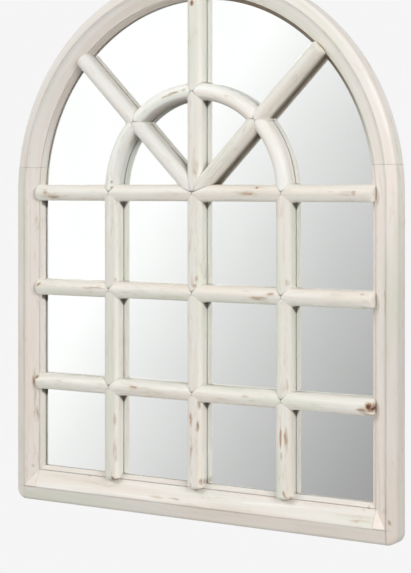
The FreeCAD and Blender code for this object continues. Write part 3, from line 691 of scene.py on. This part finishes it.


# %% [markdown]
# ### Every painted piece
#
# The pieces of one kind share a recipe, and each adds what is its own: how bare it is, which of its
# sides are painted paler or duller as painted light and shade, where wax and painted shade darken it.
# The right stile, for instance, is painted paler near its joint with the head, as painted light, and
# the left one is rubbed barer.

# %% The painted pieces
# Painted light and shade: flank, shares and fade set tones by the way a face turns, and underside and
# lip_shade darken faces turned down.
STILE = dict(coat=STILE_COAT, slope=90.0, edge_lines=(on_crest, on_outer_edge), outward=outside_crest,
             flank=("Z", 1.0, 0.30, 0.84))
RAIL = dict(coat=RAIL_COAT, edge_lines=(on_rail_crest, on_foot_edge), outward=below_rail_crest)
HEAD = dict(coat=HEAD_COAT, bend=crest_out, edge_lines=(on_crest, on_outer_edge), outward=outside_crest,
            fade=(from_crown_joint, (1.08, 0.97)))
CURVED = dict(coat=ARCH_COAT, edge_lines=(on_crown,), bend=ARCH_RADIUS)
CROSS_BAR = dict(coat=BAR_COAT, edge_lines=(on_crown,), flank=("Z", -1.0, 0.25, 1.34))
UPRIGHT = dict(coat=BAR_COAT, slope=90.0, edge_lines=(on_crown,))
DULLER = (0.96, 0.96, 0.96)
painted = {
    "left_stile": dict(STILE, bareness=0.6, shares=(1.0, 0.88)),
    "right_stile": dict(STILE, bareness=0.4, shares=(1.10, 0.89), fade=(below_head_joint, (1.21, 1.04))),
    "bottom_rail": dict(RAIL, shares=(0.98, 0.90)),
    "head_left": dict(HEAD, bareness=0.5, shares=(0.99, 0.90), underside=(0.45, 0.060), lip_shade=0.35),
    "head_right": dict(HEAD, bareness=0.2, shares=(1.19, 1.03), underside=(0.25, 0.060), lip_shade=1.0),
    "inner_arch_left": dict(CURVED, bareness=0.3, underside=(0.6, 0.040)),
    "inner_arch_right": dict(CURVED, bareness=0.1, underside=(0.3, 0.040)),
    "left_spoke": dict(coat=SPOKE_COAT, edge_lines=(on_crown,), slope=-45.0, bareness=0.1),
    "right_spoke": dict(coat=BAR_COAT, edge_lines=(on_crown,), slope=45.0, bareness=0.2,
                        underside=(0.95, 0.017)),
    "spring_bar": dict(CROSS_BAR, bareness=0.3),
    "middle_cross_bar": dict(CROSS_BAR, bareness=0.4),
    "lower_cross_bar": dict(CROSS_BAR, bareness=0.4),
    "left_upright": dict(UPRIGHT, coat=tinted(BAR_COAT, DULLER), bareness=0.3,
                         flank=("X", 1.0, 0.55, 1.30)),
    "centre_upright": dict(UPRIGHT, bareness=0.4, flank=("X", 1.0, 0.55, 1.20)),
    "right_upright": dict(UPRIGHT, bareness=0.3, flank=("X", 1.0, 0.55, 1.08)),
}
for seed, (name, recipe) in enumerate(painted.items(), start=1):
    wear_it(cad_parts[name], whitewash(name, float(seed), **recipe))
print("whitewashed:", len(painted), "pieces,", sum(len(spots) for spots in WORN.values()), "worn places")

# %% [markdown]
# ## Paint in the crossings
#
# Two half-round bars that cross leave sharp valleys. On the real grille these are filled: glue was
# wiped into them, and thick paint rounded them off, so no seam shows. The CAD bars keep their seams,
# as separate pieces must. A slim fillet in each valley does here what the paint does there. It runs
# from the crown, where the valley starts at nothing, down to the glass. It stays flat shaded: on a
# prism this thin, smooth shading would bend the light into a dark line.

# %% Fillets
FILLET = 0.0022
FILLET_LEAST = 0.0006
FILLET_SINK = 0.0003
FILLET_STEPS = 18
ABOVE_GLASS = 0.0002
crown_centre = crown_y + bar_half


def piece_from(work, name):
    """Turns a worked mesh into a piece of the scene."""
    mesh = bpy.data.meshes.new(name)
    work.to_mesh(mesh)
    work.free()
    piece = bpy.data.objects.new(name, mesh)
    bpy.context.scene.collection.objects.link(piece)
    return piece


def valley_points():
    """The valley's course for one quarter of a crossing: how far out, how deep and how wide filled."""
    for step in range(FILLET_STEPS + 1):
        turn = math.radians(90 * step / FILLET_STEPS)
        yield (bar_half * math.sin(turn), crown_centre - bar_half * math.cos(turn),
               max(FILLET * math.sin(turn), FILLET_LEAST))
    yield bar_half, glass_front - ABOVE_GLASS, FILLET


def paint_fillets(crossings):
    """One piece with four fillets at each crossing. A crossing is its middle and its turn in degrees."""
    work = bmesh.new()
    for across, up, turn in crossings:
        for quarter in range(4):
            lean = math.radians(turn + 90 * quarter)
            rungs = []
            for out, depth, width in valley_points():
                corners = ((out, out + width), (out + width, out), (out - FILLET_SINK, out - FILLET_SINK))
                rungs.append([work.verts.new((across + x * math.cos(lean) - z * math.sin(lean), depth,
                                              up + x * math.sin(lean) + z * math.cos(lean)))
                              for x, z in corners])
            for low, high in zip(rungs, rungs[1:]):
                for near, far in ((0, 1), (1, 2), (2, 0)):
                    work.faces.new((low[near], low[far], high[far], high[near]))
            work.faces.new(rungs[0])
            work.faces.new(rungs[-1][::-1])
    bmesh.ops.recalc_face_normals(work, faces=work.faces)
    return piece_from(work, "paint_fillets")


arch_place = ARCH_RADIUS * math.sqrt(0.5)
crossings = [(middle_and_half(upright, 0)[0], height, 0) for upright in UPRIGHTS for height in bar_heights]
crossings += [(0.0, spring_z + ARCH_RADIUS, 0), (-arch_place, spring_z + arch_place, 45),
              (arch_place, spring_z + arch_place, 45)]
fillets = paint_fillets(crossings)
wear_it(fillets, whitewash("paint_fillets", 31.0, BAR_COAT, bareness=0.0, hollows=0.2, rounding=0.0))
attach(fillets, "framed_mirror")
print("fillets at", len(crossings), "crossings")

# %% [markdown]
# ## What the wall side shows
#
# A hardboard back is smooth in front and has the print of a wire screen behind. It is pressed from
# brown fibres, so its finish is a mottle, fine fibres, and two crossing waves for the screen.

# %% Hardboard
BOARD_DARK = (0.200, 0.118, 0.062)
BOARD_LIGHT = (0.300, 0.190, 0.108)
BOARD_FIBRE = (0.400, 0.280, 0.170)
SCREEN_PITCH = 0.0018


def even_noise(tree, place, waves, detail, twist=0.0):
    """A noise with as many waves a metre in every direction."""
    feeds = {"Vector": place, "Scale": waves, "Detail": detail, "Distortion": twist}
    return node(tree, "TexNoise", feeds).outputs[0]


def hardboard():
    """Brown pressed fibre with the print of a wire screen on the wall side."""
    material, tree, shader = new_finish("screen_backed_hardboard")
    place = node(tree, "TexCoord").outputs["Object"]
    mottle = even_noise(tree, place, 38.0, 5.0)
    fibre = even_noise(tree, place, 620.0, 2.0, 2.0)
    colour = blend(tree, between(tree, mottle, 0.32, 0.68), BOARD_DARK, BOARD_LIGHT)
    colour = blend(tree, between(tree, fibre, 0.52, 0.72, 0.0, 0.6), colour, BOARD_FIBRE)
    parts = node(tree, "SeparateXYZ", {0: place})
    waves = [calc(tree, "SINE", calc(tree, "MULTIPLY", parts.outputs[axis], 2 * math.pi / SCREEN_PITCH))
             for axis in ("X", "Z")]
    screen = calc(tree, "MULTIPLY", *waves)
    relief = calc(tree, "ADD", calc(tree, "MULTIPLY", screen, 0.3), fibre)
    feed_inputs(tree, shader, {"Base Color": colour,
                               "Normal": bumpy(tree, relief, strength=0.5, distance=0.0003),
                               "Roughness": between(tree, mottle, 0.3, 0.7, 0.62, 0.80)})
    return material


wear_it(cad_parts["backing_board"], hardboard())
print("screen waves every", SCREEN_PITCH, "m")

# %% [markdown]
# ### Zinc
#
# The straps, rings and screws are zinc on steel: bright grey, with the flat patches called spangle and
# small scratches. Cells of a Voronoi texture are those patches. A ring that was handled is hazier
# than a screw, and small parts have small patches, so both are given for each kind.

# %% Zinc on steel
ZINC_DULL = (0.600, 0.620, 0.640)
ZINC_BRIGHT = (0.740, 0.750, 0.760)
ZINC_HAZE = (0.430, 0.430, 0.420)
ZINC_RECESS_SHADE = (0.120, 0.110, 0.100)


def zinc(name, spangle_size, handled):
    """Bright zinc with its spangle. handled adds haze, as on a ring that was often turned."""
    material, tree, shader = new_finish(name)
    place = node(tree, "TexCoord").outputs["Object"]
    spangle = node(tree, "TexVoronoi", {"Vector": place, "Scale": 1.0 / spangle_size}).outputs["Distance"]
    haze = even_noise(tree, place, 160.0, 4.0)
    scratch = even_noise(tree, place, 900.0, 2.0, 3.0)
    colour = blend(tree, between(tree, spangle, 0.2, 0.8), ZINC_DULL, ZINC_BRIGHT)
    colour = blend(tree, between(tree, haze, 0.55, 0.75, 0.0, 0.5 + handled), colour, ZINC_HAZE)
    # Painted shade: the zinc is darkened in its small recesses, which the ambient occlusion finds.
    hollow = node(tree, "AmbientOcclusion", {"Distance": 0.002}, samples=6, only_local=True).outputs["AO"]
    colour = blend(tree, between(tree, hollow, 0.7, 0.2, 0.0, 0.8), colour, ZINC_RECESS_SHADE)
    rough = between(tree, haze, 0.3, 0.7, 0.28, 0.46)
    normal = softened(tree, bumpy(tree, scratch, strength=0.25, distance=0.0001), radius=0.0003)
    feed_inputs(tree, shader, {"Base Color": colour, "Metallic": 1.0, "Roughness": rough,
                               "Normal": normal})
    return material


plated = {
    "zinc_straps": (("left_hanger_strap", "right_hanger_strap"), 0.006, 0.0),
    "zinc_rings": (("left_hanger_ring", "right_hanger_ring"), 0.004, 0.3),
    "zinc_screws": (("hanger_screws", "backing_screws"), 0.003, 0.1),
}
for name, (pieces, spangle_size, handled) in plated.items():
    finish = zinc(name, spangle_size, handled)
    for piece in pieces:
        wear_it(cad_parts[piece], finish)
print("zinc finishes:", sorted(plated))

# %% [markdown]
# ### Beech
#
# The dowels only show where a joint opens, but they get their grain too: pale pink-brown wood with
# the short dark flecks that tell beech from other woods. Both come from noises that are stretched
# along X.

# %% Beech dowels
BEECH_DARK = (0.520, 0.340, 0.210)
BEECH_LIGHT = (0.660, 0.470, 0.310)
BEECH_FLECK = (0.300, 0.160, 0.080)


def beech():
    """Pale pink-brown wood with short dark flecks."""
    material, tree, shader = new_finish("beech_dowel")
    place = node(tree, "TexCoord").outputs["Object"]
    stretched = node(tree, "Mapping", {"Vector": place, "Scale": (60.0, 700.0, 700.0)}).outputs[0]
    grain = even_noise(tree, stretched, 1.0, 3.0)
    fleck = even_noise(tree, stretched, 2.3, 1.0)
    colour = blend(tree, between(tree, grain, 0.3, 0.7), BEECH_DARK, BEECH_LIGHT)
    colour = blend(tree, between(tree, fleck, 0.62, 0.70), colour, BEECH_FLECK)
    feed_inputs(tree, shader, {"Base Color": colour, "Roughness": between(tree, grain, 0.3, 0.7, 0.5, 0.65),
                               "Normal": bumpy(tree, grain, strength=0.3, distance=0.0003)})
    return material


wear_it(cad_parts["frame_dowels"], beech())
print("wall side finished:", len(plated) + 2, "finishes")

# %% [markdown]
# ## Felt pads
#
# The pads at the feet are stamped from pressed felt. CAD holds their place with plain discs, but felt
# has soft, slightly uneven rims and a fuzzy face. A disc with a bevel would stay a coin, so the pad is
# turned from a rounded profile, and its points are nudged by a few tenths of a millimetre.

# %% Pads
PAD_PROFILE = [(0.45, 0.97), (0.78, 0.95), (0.92, 0.86), (0.985, 0.66), (0.975, 0.36), (0.93, 0.10),
               (0.86, 0.0)]
PAD_CROWN = 0.96
PAD_POINTS = 40
RIM_WANDER = 0.012
FACE_WANDER = 0.03


def felt_pads(middles, radius, front, wall):
    """One piece with a pad at each place: a domed rim, a faint crown and uneven points."""
    draw = random.Random(7)
    thickness = wall - front
    work = bmesh.new()
    for across, up in middles:
        rims = []
        for reach, height in PAD_PROFILE:
            ring = []
            for step in range(PAD_POINTS):
                turn = 2 * math.pi * step / PAD_POINTS
                out = radius * reach * (1 - RIM_WANDER * draw.random())
                depth = front + thickness * min(1.0, height * (1 - FACE_WANDER * draw.random()))
                place = (across + out * math.cos(turn), depth, up + out * math.sin(turn))
                ring.append(work.verts.new(place))
            rims.append(ring)
        crown = work.verts.new((across, front + thickness * PAD_CROWN, up))
        base = work.verts.new((across, front, up))
        for step in range(PAD_POINTS):
            after = (step + 1) % PAD_POINTS
            work.faces.new((crown, rims[0][step], rims[0][after]))
            work.faces.new((base, rims[-1][after], rims[-1][step]))
            for low, high in zip(rims, rims[1:]):
                work.faces.new((low[step], high[step], high[after], low[after]))
    bmesh.ops.recalc_face_normals(work, faces=work.faces)
    piece = piece_from(work, "felt_pads")
    piece.data.shade_smooth()
    return piece


pad_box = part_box("wall_bumpers")
pad_height, pad_radius = middle_and_half("wall_bumpers", 2)
pad_middles = [(side * (pad_box[1][0] - pad_radius), pad_height) for side in (-1, 1)]
pads = felt_pads(pad_middles, pad_radius, pad_box[0][1], pad_box[1][1])
print("felt pads at", [[round(c, 4) for c in middle] for middle in pad_middles])

# %% [markdown]
# Felt is grey wool that was matted under pressure: a very fine fuzz with darker, denser spots. It
# has no gloss, but its loose hairs catch light at the rim, which is what the shader's sheen is for.

# %% Felt
FELT_DARK = (0.300, 0.285, 0.265)
FELT_LIGHT = (0.520, 0.500, 0.470)
FELT_MATTED = (0.230, 0.215, 0.200)


def pressed_felt():
    """Grey wool with a fine fuzz and denser spots."""
    material, tree, shader = new_finish("pressed_felt")
    place = node(tree, "TexCoord").outputs["Object"]
    fuzz = even_noise(tree, place, 1400.0, 4.0, 2.5)
    matting = even_noise(tree, place, 240.0, 3.0)
    colour = blend(tree, between(tree, fuzz, 0.35, 0.7), FELT_DARK, FELT_LIGHT)
    colour = blend(tree, between(tree, matting, 0.5, 0.75, 0.0, 0.5), colour, FELT_MATTED)
    relief = calc(tree, "ADD", fuzz, matting)
    feed_inputs(tree, shader, {"Base Color": colour, "Roughness": between(tree, fuzz, 0.3, 0.7, 0.86, 1.0),
                               "Normal": bumpy(tree, relief, strength=0.7, distance=0.0004),
                               "Sheen Weight": 0.35, "Sheen Roughness": 0.6})
    return material


wear_it(pads, pressed_felt())
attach(pads, "framed_mirror")
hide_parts("wall_bumpers")
print("felt on", pads.name)

# %% [markdown]
# ## Mirror glass
#
# A mirror is not one surface: it is a clear sheet with silver on its back. The eye sees the silver
# through the glass, so a bar and its reflection stand a little apart, and that thin dark line is what
# tells glass from polished metal. A single mirror material on the front would lose it. So two sheets
# take the node's place: clear glass, and a film of silver on its back. In the photo the line is
# faint, so the clear sheet is kept thin, and the film stands for the silver, its copper and the grey
# paint that protects them.

# %% Two arched sheets
SHEET_STEPS = 96
SILVER_FILM = 0.0020
FILM_GAP = 0.0001


def arched_sheet(name, half_width, low, front, thickness):
    """A flat sheet with a half-round top round the arch's centre."""
    turns = [math.pi * step / SHEET_STEPS for step in range(SHEET_STEPS + 1)]
    rim = [(half_width * math.cos(turn), spring_z + half_width * math.sin(turn)) for turn in turns]
    rim += [(-half_width, low), (half_width, low)]
    work = bmesh.new()
    face = work.faces.new([work.verts.new((x, front, z)) for x, z in rim])
    made = bmesh.ops.extrude_face_region(work, geom=[face])
    corners = [item for item in made["geom"] if isinstance(item, bmesh.types.BMVert)]
    bmesh.ops.translate(work, verts=corners, vec=(0.0, thickness, 0.0))
    bmesh.ops.recalc_face_normals(work, faces=work.faces)
    return piece_from(work, name)


glass_half, glass_foot, glass_back = glass_box[1][0], glass_box[0][2], glass_box[1][1]
clear_depth = glass_back - glass_front - SILVER_FILM - FILM_GAP
clear_glass = arched_sheet("clear_glass", glass_half, glass_foot, glass_front, clear_depth)
silvering = arched_sheet("silvering", glass_half, glass_foot, glass_back - SILVER_FILM, SILVER_FILM)
print("glass and silver:", [round(c, 4) for c in clear_glass.dimensions])

# %% [markdown]
# Clear glass is a shader that lets all light through and bends it. The silver is a metal without any
# roughness, a touch uneven in tone, and its back is the flat grey of the protecting paint.

# %% Glass and silver
GLASS_TINT = (0.985, 0.992, 0.988, 1.0)
SILVER_DARK = (0.93, 0.935, 0.93)
SILVER_LIGHT = (0.95, 0.95, 0.945)
BACKING_PAINT = (0.30, 0.31, 0.33)


def float_glass():
    """Clear glass with a faint green in it."""
    material, tree, shader = new_finish("clear_float_glass")
    feed_inputs(tree, shader, {"Base Color": GLASS_TINT, "Transmission Weight": 1.0, "Roughness": 0.0,
                               "IOR": 1.45})
    return material


def silver_film():
    """Silver towards the glass, and grey paint towards the wall."""
    material, tree, shader = new_finish("silver_film")
    cloud = node(tree, "TexNoise", {"Scale": 6.0, "Detail": 3.0}).outputs[0]
    tone = blend(tree, between(tree, cloud, 0.3, 0.7), SILVER_DARK, SILVER_LIGHT)
    facing = node(tree, "SeparateXYZ", {0: node(tree, "NewGeometry").outputs["True Normal"]})
    tone = blend(tree, between(tree, facing.outputs["Y"], 0.4, 0.6), tone, BACKING_PAINT)
    feed_inputs(tree, shader, {"Base Color": tone, "Metallic": 1.0, "Roughness": 0.0})
    return material


wear_it(clear_glass, float_glass())
wear_it(silvering, silver_film())
for piece in (clear_glass, silvering):
    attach(piece, "framed_mirror")
    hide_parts("mirror_glass")
print("mirror finished:", clear_glass.name, silvering.name)

# %% [markdown]
# ## Studio
#
# The floor is a plain pale disc, well below the mirror as it hangs, that fades out before it reaches
# the picture. It catches the lamps' light and sends a little of it up to the undersides.

# %% Floor
FLOOR_LEVEL = -1.35
FLOOR_RADIUS = 2.75
FLOOR_FADE = (2.7, 1.3)
FLOOR_GREY = (0.86, 0.86, 0.86, 1.0)
work = bmesh.new()
bmesh.ops.create_circle(work, cap_ends=True, segments=96, radius=FLOOR_RADIUS)
bmesh.ops.translate(work, verts=work.verts, vec=(0.0, 0.0, FLOOR_LEVEL))
floor = piece_from(work, "studio_floor")
floor_finish, tree, shader = new_finish("studio_floor_paint")
spot = node(tree, "SeparateXYZ", {0: node(tree, "TexCoord").outputs["Object"]})
from_middle = length_of(tree, spot.outputs["X"], spot.outputs["Y"])
feed_inputs(tree, shader, {"Base Color": FLOOR_GREY, "Roughness": 0.9,
                           "Alpha": between(tree, from_middle, *FLOOR_FADE)})
wear_it(floor, floor_finish)
print("floor at z", FLOOR_LEVEL)

# %% [markdown]
# ### World
#
# The world is three backgrounds in one. The camera sees a plain backdrop. The painted wood gets an
# even light, weaker from below. In the mirror it shows as a large softbox at the side that falls off
# smoothly towards the middle, which is what the glass reflects. That fall is a sum of two slopes,
# in grey levels for each degree sideways and upwards.

# %% World
BACKDROP = 0.915
ROOM_BELOW = 0.12
ROOM_ABOVE = 0.50
GREY_LEVELS = 255
SOFTBOX_START = 31.13
SOFTBOX_SIDEWAYS = 6.676
SOFTBOX_UPWARDS = 4.283
SOFTBOX_DARKEST = 0.62
SOFTBOX_STRENGTH = 1.09
DISPLAY_GAMMA = 2.2
WARM_WHITE = (1.0, 0.995, 0.985, 1.0)
DEGREE = 180.0 / math.pi


def softbox_tone(tree, way):
    """The light of the softbox in the direction of a ray."""
    behind = calc(tree, "MULTIPLY", way.outputs["Y"], -1.0)
    turn = calc(tree, "MULTIPLY", calc(tree, "ARCTAN2", way.outputs["X"], behind), DEGREE)
    lift = calc(tree, "MULTIPLY", calc(tree, "ARCSINE", way.outputs["Z"]), DEGREE)
    sideways = calc(tree, "MULTIPLY", calc(tree, "ABSOLUTE", turn), SOFTBOX_SIDEWAYS / GREY_LEVELS)
    upwards = calc(tree, "MULTIPLY", lift, SOFTBOX_UPWARDS / GREY_LEVELS)
    tone = calc(tree, "ADD", calc(tree, "ADD", sideways, upwards), SOFTBOX_START / GREY_LEVELS)
    tone = calc(tree, "MINIMUM", calc(tree, "MAXIMUM", tone, SOFTBOX_DARKEST), 1.0)
    return calc(tree, "POWER", tone, DISPLAY_GAMMA)


world = bpy.data.worlds.new("studio")
bpy.context.scene.world = world
world.use_nodes = True
tree = world.node_tree
tree.nodes.clear()
way = node(tree, "SeparateXYZ", {0: node(tree, "TexCoord").outputs["Generated"]})
seen = softbox_tone(tree, way)
path = node(tree, "LightPath")
polished = calc(tree, "MAXIMUM", path.outputs["Is Glossy Ray"], path.outputs["Is Transmission Ray"])
room_light = between(tree, way.outputs["Z"], -0.45, 0.35, ROOM_BELOW, ROOM_ABOVE)
ambient = node(tree, "Background", {"Color": WARM_WHITE, "Strength": room_light})
softbox = node(tree, "Background", {"Color": seen, "Strength": SOFTBOX_STRENGTH})
backdrop = node(tree, "Background", {"Color": (1.0, 1.0, 1.0, 1.0), "Strength": BACKDROP})
mix = node(tree, "MixShader", {0: polished, 1: ambient.outputs[0], 2: softbox.outputs[0]})
mix = node(tree, "MixShader", {0: path.outputs["Is Camera Ray"], 1: mix.outputs[0], 2: backdrop.outputs[0]})
node(tree, "OutputWorld", {0: mix.outputs[0]})
bpy.context.scene.view_settings.view_transform = "Standard"
print("world light from", ROOM_BELOW, "to", ROOM_ABOVE)

# %% [markdown]
# ### Lamps
#
# Two large square lamps, as a photographer would set them: one on either side, above the middle. Big
# lamps give the soft shadows of the photo, and equal power on both sides keeps the moulding readable
# without a hard side. They are hidden from the camera.

# %% Lamps
LAMP_WATTS = 52.0


def softbox_lamp(name, place, size):
    """A square area lamp at a place, turned towards the middle of the mirror."""
    lamp = bpy.data.lights.new(name, "AREA")
    lamp.shape = "SQUARE"
    lamp.size = size
    lamp.energy = LAMP_WATTS
    holder = bpy.data.objects.new(name, lamp)
    holder.location = place
    holder.rotation_euler = (-Vector(place)).to_track_quat("-Z", "Y").to_euler()
    holder.visible_camera = False
    bpy.context.scene.collection.objects.link(holder)


softbox_lamp("left_light", (-2.0, -2.2, 1.6), 1.5)
softbox_lamp("right_light", (2.35, -1.8, 0.9), 1.4)
print("two lamps of", LAMP_WATTS, "W")

# %% [markdown]
# ### Camera
#
# The photo was taken from the right with a level camera, and its horizon lies above the middle of the
# picture. A level camera keeps the uprights upright, and the lens shift moves the horizon to its
# height. Focal length and horizon are in pixels of the photo.

# %% Camera
PHOTO_HEIGHT = 573.0
PHOTO_FOCAL = 1603.4
PHOTO_HORIZON = 186.84
SENSOR = 36.0
CAMERA_RIGHT = 1.5404
CAMERA_OUT = 2.4498
CAMERA_ABOVE_SPRING = 0.0110
CAMERA_TURN = 0.5605
camera_data = bpy.data.cameras.new("photo_camera")
camera_data.sensor_fit = "AUTO"
camera_data.sensor_width = SENSOR
camera_data.lens = PHOTO_FOCAL * SENSOR / PHOTO_HEIGHT
camera_data.shift_x = 0.0
camera_data.shift_y = -(PHOTO_HEIGHT / 2 - PHOTO_HORIZON) / PHOTO_HEIGHT
camera = bpy.data.objects.new("photo_camera", camera_data)
camera.location = (CAMERA_RIGHT, -CAMERA_OUT, CAMERA_ABOVE_SPRING + spring_z)
camera.rotation_euler = (math.radians(90.0), 0.0, CAMERA_TURN)
bpy.context.scene.collection.objects.link(camera)
bpy.context.scene.camera = camera
print("camera lens:", round(camera_data.lens, 2), "mm")
